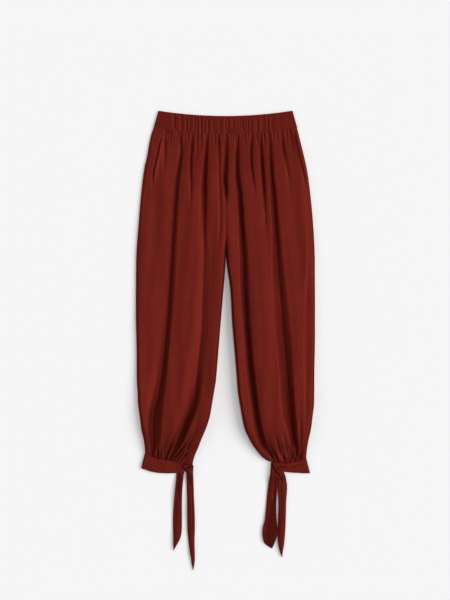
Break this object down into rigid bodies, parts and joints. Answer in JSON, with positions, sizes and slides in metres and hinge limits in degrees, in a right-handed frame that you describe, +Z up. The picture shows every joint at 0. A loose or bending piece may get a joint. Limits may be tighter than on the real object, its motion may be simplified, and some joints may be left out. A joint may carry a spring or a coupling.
{
  "type": "pull-on trousers with tied ankle cuffs, laid flat",
  "caption": "Pull-on balloon trousers of plain rust-red woven cloth, laid flat: gathered elasticated waistband, in-seam pocket mouths, gathered ankle cuffs with knotted ties.",
  "frame": {"origin": "centre of the trousers' box across and along, on the surface that they lie on", "axes": "+X towards the wearer's left side, +Y from the ankles to the waist, +Z up out of the front of the trousers"},
  "size_m": [0.4741, 1.216, 0.0306],
  "materials": {
    "leg_cloth": "soft satin-matt plain weave",
    "waistband_cloth": "soft satin-matt plain weave, ruched over elastic",
    "cuff_cloth": "soft satin-matt plain weave",
    "tie_cloth": "soft satin-matt plain weave"
  },
  "bodies": {
    "root": {"waistband": "waistband_cloth", "front_left": "leg_cloth", "front_right": "leg_cloth", "back_left": "leg_cloth", "back_right": "leg_cloth", "cuff_left": "cuff_cloth", "cuff_right": "cuff_cloth", "knot_left": "tie_cloth", "knot_right": "tie_cloth", "tie_left_inner": "tie_cloth", "tie_left_outer": "tie_cloth", "tie_right_inner": "tie_cloth", "tie_right_outer": "tie_cloth"}
  },
  "joints": []
}
